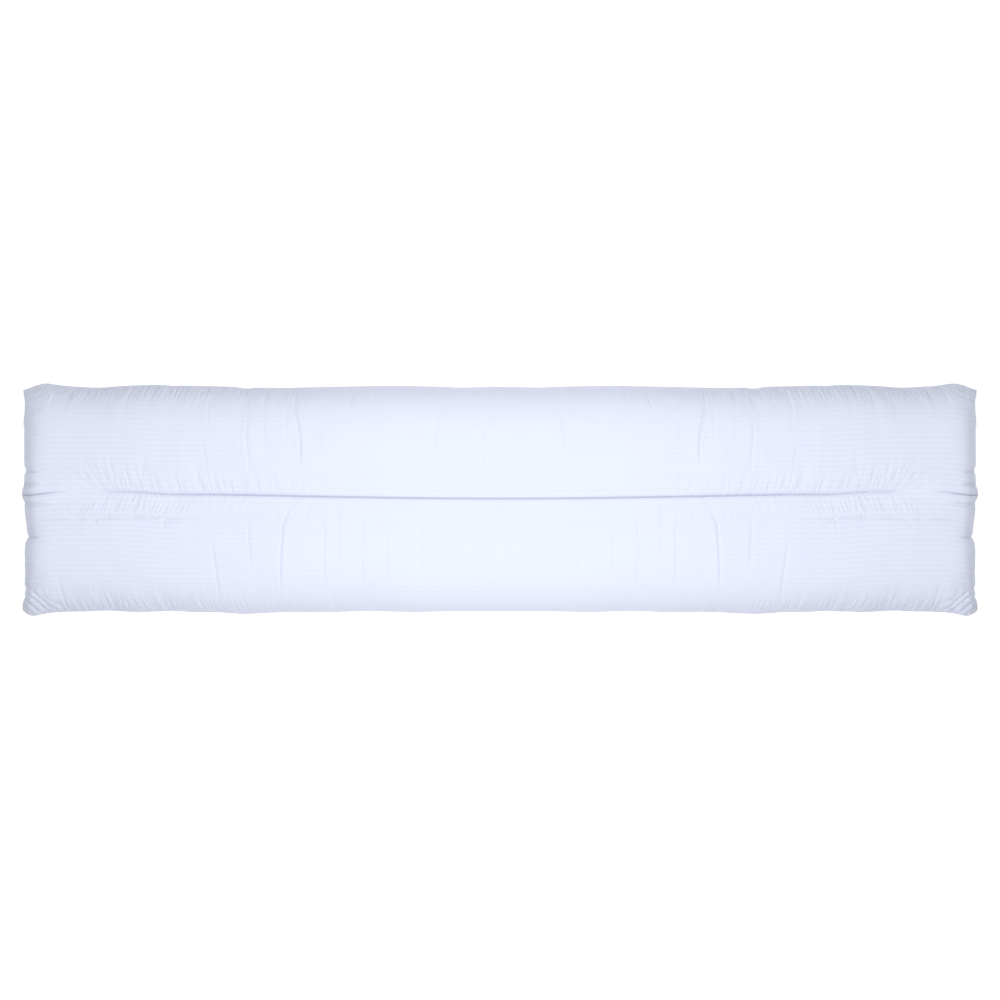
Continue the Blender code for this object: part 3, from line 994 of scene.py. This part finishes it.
    # Painted shade: the cloth is greyer along the outer seam.
    side_seam_shade = times(soft_bump(from_edge, SEAM_WIDTH), SIDE_SEAM_SHADE_SHARE)
    rim = maths("MAXIMUM", side_seam_shade, soft_bump(from_end, END_SEAM_WIDTH))
    outer_seam_shaded = node("ShaderNodeMix", data_type="RGBA", blend_type="MULTIPLY")
    links.new(rim, outer_seam_shaded.inputs["Factor"])
    links.new(toned.outputs[0], outer_seam_shaded.inputs["A"])
    outer_seam_shaded.inputs["B"].default_value = (*OUTER_SEAM_SHADE_COLOUR, 1)
    links.new(outer_seam_shaded.outputs["Result"], shader.inputs["Base Color"])

    shader.inputs["Roughness"].default_value = 0.85
    shader.inputs["Specular IOR Level"].default_value = 0.25
    shader.inputs["Sheen Weight"].default_value = 0.12
    shader.inputs["Sheen Roughness"].default_value = 0.5

    # The weave: threads both ways, and the stripes stand a little proud.
    warp = maths("SINE", times(v, 2 * math.pi / THREAD))
    weft = maths("SINE", times(u, 2 * math.pi / THREAD))
    fuzz = node("ShaderNodeTexNoise")
    fuzz.inputs["Scale"].default_value = FUZZ_SCALE
    fuzz.inputs["Detail"].default_value = 2.0
    links.new(where, fuzz.inputs["Vector"])
    woven, fuzzy = times(warp, weft, THREAD_HEIGHT), times(fuzz.outputs[0], FUZZ_HEIGHT)
    height = add(woven, fuzzy, times(stripe, STRIPE_HEIGHT))
    # The finest gathers, and the sharp line of each crease.
    height = add(height, fine_gathers(from_seam, *SEAM_PUCKERS))
    height = add(height, fine_gathers(from_edge, *EDGE_PUCKERS))
    line = soft_bump(crease_at, LINE_REACH)
    beside = soft_bump(maths("SUBTRACT", maths("ABSOLUTE", crease_at), LINE_LIFT_AT), LINE_LIFT_REACH)
    profile = maths("MULTIPLY_ADD", line, -LINE_DEPTH, times(beside, LINE_LIFT))
    height = add(height, times(crease_deep, profile))
    bumped = node("ShaderNodeBump")
    bumped.inputs["Strength"].default_value = 1.0
    bumped.inputs["Distance"].default_value = 1.0
    links.new(height, bumped.inputs["Height"])
    links.new(bumped.outputs[0], shader.inputs["Normal"])
    return material


pillow_mesh.materials.append(cover_material())
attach(pillow, "root")
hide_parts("pillow")


# The floor, the light and the camera.
FLOOR_SIZE = 30.0  # from its middle to its sides
FLOOR_DROP = 0.0005  # how far it lies below the pillow
FLOOR_GLOW = 0.45
DOME = 0.20
LAMPS = (
    # name, place, what it is aimed at, size and power
    ("overhead", (0, -0.15, 2.3), (0, 0, 0.1), (2.0, 1.6), 50),
    ("far_side", (0, 0.85, 0.6), (0, 0.15, 0.1), (0.5, 0.4), 0.8),
    ("near_side", (0, -0.85, 0.6), (0, -0.15, 0.1), (0.5, 0.4), 0.6),
    ("left_end", (-1.50, 0.30, 0.34), (-0.88, 0.02, 0.1), (0.4, 0.3), 0.48),
    ("right_end", (1.50, 0.30, 0.34), (0.88, 0.02, 0.1), (0.4, 0.3), 0.48),
)
LENS = 120
SENSOR_WIDTH = 36
PHOTO_WIDTH = 1000 * PIXEL
CAMERA_SHIFT = -0.0009  # across, because the middle of the pillow is half a pixel above that of the photo


def floor_material():
    material = bpy.data.materials.new("floor_white")
    material.use_nodes = True
    shader = material.node_tree.nodes["Principled BSDF"]
    shader.inputs["Base Color"].default_value = (0.96, 0.96, 0.96, 1)
    shader.inputs["Roughness"].default_value = 1.0
    shader.inputs["Specular IOR Level"].default_value = 0.0
    shader.inputs["Emission Color"].default_value = (1, 1, 1, 1)
    shader.inputs["Emission Strength"].default_value = FLOOR_GLOW
    return material


def area_light(name, place, aim, size, power):
    light = bpy.data.lights.new(name, "AREA")
    light.shape = "RECTANGLE"
    light.size, light.size_y = size
    light.energy = power
    lamp = bpy.data.objects.new(name, light)
    lamp.location = place
    lamp.rotation_euler = (Vector(place) - Vector(aim)).to_track_quat("Z", "Y").to_euler()
    lamp.visible_camera = False
    bpy.context.scene.collection.objects.link(lamp)


floor_corners = [(x * FLOOR_SIZE, y * FLOOR_SIZE, 0) for x, y in ((-1, -1), (1, -1), (1, 1), (-1, 1))]
floor_mesh = bpy.data.meshes.new("floor")
floor_mesh.from_pydata(floor_corners, [], [(0, 1, 2, 3)])
floor_mesh.materials.append(floor_material())
floor = bpy.data.objects.new("floor", floor_mesh)
floor.location.z = -FLOOR_DROP
bpy.context.scene.collection.objects.link(floor)

world = bpy.data.worlds.new("studio")
bpy.context.scene.world = world
world.use_nodes = True
sky = world.node_tree.nodes["Background"]
sky.inputs["Color"].default_value = (1, 1, 1, 1)
sky.inputs["Strength"].default_value = DOME
for lamp_values in LAMPS:
    area_light(*lamp_values)

camera_data = bpy.data.cameras.new("camera")
camera_data.lens = LENS
camera_data.sensor_width = SENSOR_WIDTH
camera_data.clip_end = 100
camera = bpy.data.objects.new("camera", camera_data)
bpy.context.scene.collection.objects.link(camera)
# At the height of the outer seam the camera sees just as much as the photo does.
camera.location = (0, CAMERA_SHIFT, EDGE_HEIGHT + PHOTO_WIDTH * LENS / SENSOR_WIDTH)
bpy.context.scene.camera = camera
bpy.context.scene.view_settings.view_transform = "Standard"
